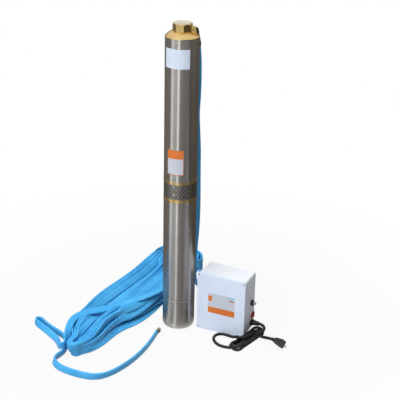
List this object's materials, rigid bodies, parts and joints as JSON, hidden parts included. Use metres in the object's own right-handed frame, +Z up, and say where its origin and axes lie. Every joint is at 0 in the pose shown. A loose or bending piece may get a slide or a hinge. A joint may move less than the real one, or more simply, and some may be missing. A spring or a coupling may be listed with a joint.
{
  "type": "borehole submersible pump",
  "caption": "Slim stainless borehole pump with brass head and intake rings, flat blue drop cable in a hank, and its starter box with mains lead.",
  "frame": {"origin": "centre of the pump's bottom cap, on the ground", "axes": "+Z up the pump to its outlet, +X towards the starter box, -Y towards the picture's camera"},
  "size_m": [0.7512, 0.7562, 0.9348],
  "materials": {
    "brass": "satin cast and turned brass",
    "stainless": "brushed around the axis",
    "screen_steel": "perforated sheet",
    "guard_steel": "folded sheet",
    "screw_steel": "bright",
    "inner_steel": "machined",
    "bearing_steel": "ground",
    "stage_plastic": "moulded",
    "rubber": "moulded",
    "ceramic": "lapped ceramic",
    "carbon": "lapped carbon",
    "core_iron": "stacked sheet",
    "copper": "enamelled copper wire",
    "aluminium": "die cast",
    "cable_blue": "smooth flat sheath",
    "core_insulation": "stripped cores",
    "box_plastic": "moulded",
    "lid_plastic": "moulded",
    "black_plastic": "moulded",
    "button_grey": "moulded",
    "switch_white": "moulded",
    "rocker_red": "moulded, translucent",
    "lead_black": "smooth sheath",
    "pin_nickel": "nickel plated"
  },
  "bodies": {
    "root": {"discharge_head": "brass", "rope_eye": "brass", "valve_seat": "inner_steel", "valve_guide": "stage_plastic", "pump_casing": "stainless", "casing_screws": "screw_steel", "top_bearing_spider": "inner_steel", "top_bearing_bush": "rubber", "diffusers": "inner_steel", "suction_bracket": "brass", "strainer": "screen_steel", "strainer_screws": "screw_steel", "cable_guard": "guard_steel", "guard_screws": "screw_steel", "motor_head": "brass", "motor_head_screws": "screw_steel", "motor_studs": "screw_steel", "shaft_seal_seat": "ceramic", "lead_gland": "rubber", "motor_lead": "cable_blue", "motor_casing": "stainless", "stator_core": "core_iron", "stator_windings": "copper", "bearing_outer_rings": "bearing_steel", "lower_bracket": "core_iron", "diaphragm": "rubber", "diaphragm_ring": "aluminium", "bottom_cap": "stainless", "box_base": "box_plastic", "box_lid": "lid_plastic", "lid_screws": "screw_steel", "capacitor": "black_plastic", "terminal_block": "black_plastic", "breaker_body": "black_plastic", "switch_body": "switch_white", "box_glands": "black_plastic", "drop_cable": "cable_blue", "cable_hank": "cable_blue", "cable_loop": "cable_blue", "cable_tail": "cable_blue", "cable_cores": "core_insulation", "mains_lead": "lead_black", "lead_hank": "lead_black", "lead_tail": "lead_black", "mains_plug": "lead_black", "plug_pins": "pin_nickel"},
    "rotor": {"pump_shaft": "inner_steel", "shaft_nut": "inner_steel", "impellers": "stage_plastic", "shaft_coupling": "inner_steel", "motor_shaft": "inner_steel", "rotor_core": "core_iron", "rotor_end_rings": "aluminium", "bearing_inner_rings": "bearing_steel", "shaft_seal_ring": "carbon", "sand_slinger": "rubber"},
    "ball_sets": {"bearing_balls": "bearing_steel"},
    "check_valve": {"valve_poppet": "rubber"},
    "switch_rocker": {"rocker": "rocker_red"},
    "reset": {"reset_button": "button_grey"}
  },
  "joints": [
    {"name": "rotor_spin", "type": "hinge", "parent": "root", "child": "rotor", "pos_m": [0, 0, 0.24], "axis": [0, 0, 1], "continuous": true},
    {"name": "ball_set_spin", "type": "hinge", "parent": "root", "child": "ball_sets", "pos_m": [0, 0, 0.24], "axis": [0, 0, 1], "continuous": true},
    {"name": "check_valve_lift", "type": "slide", "parent": "root", "child": "check_valve", "axis": [0, 0, 1], "range_m": [0, 0.01]},
    {"name": "rocker_swing", "type": "hinge", "parent": "root", "child": "switch_rocker", "pos_m": [0.21992, -0.03598, 0.05], "axis": [0, 0, 1], "range_deg": [0, 20]},
    {"name": "reset_press", "type": "slide", "parent": "root", "child": "reset", "axis": [-0.9128, 0.4083, 0], "range_m": [0, 0.003], "stiffness_N_per_m": 400, "springref_m": -0.002}
  ],
  "couplings": [
    {"joint": "ball_set_spin", "follows": "rotor_spin", "ratio": 0.337}
  ]
}
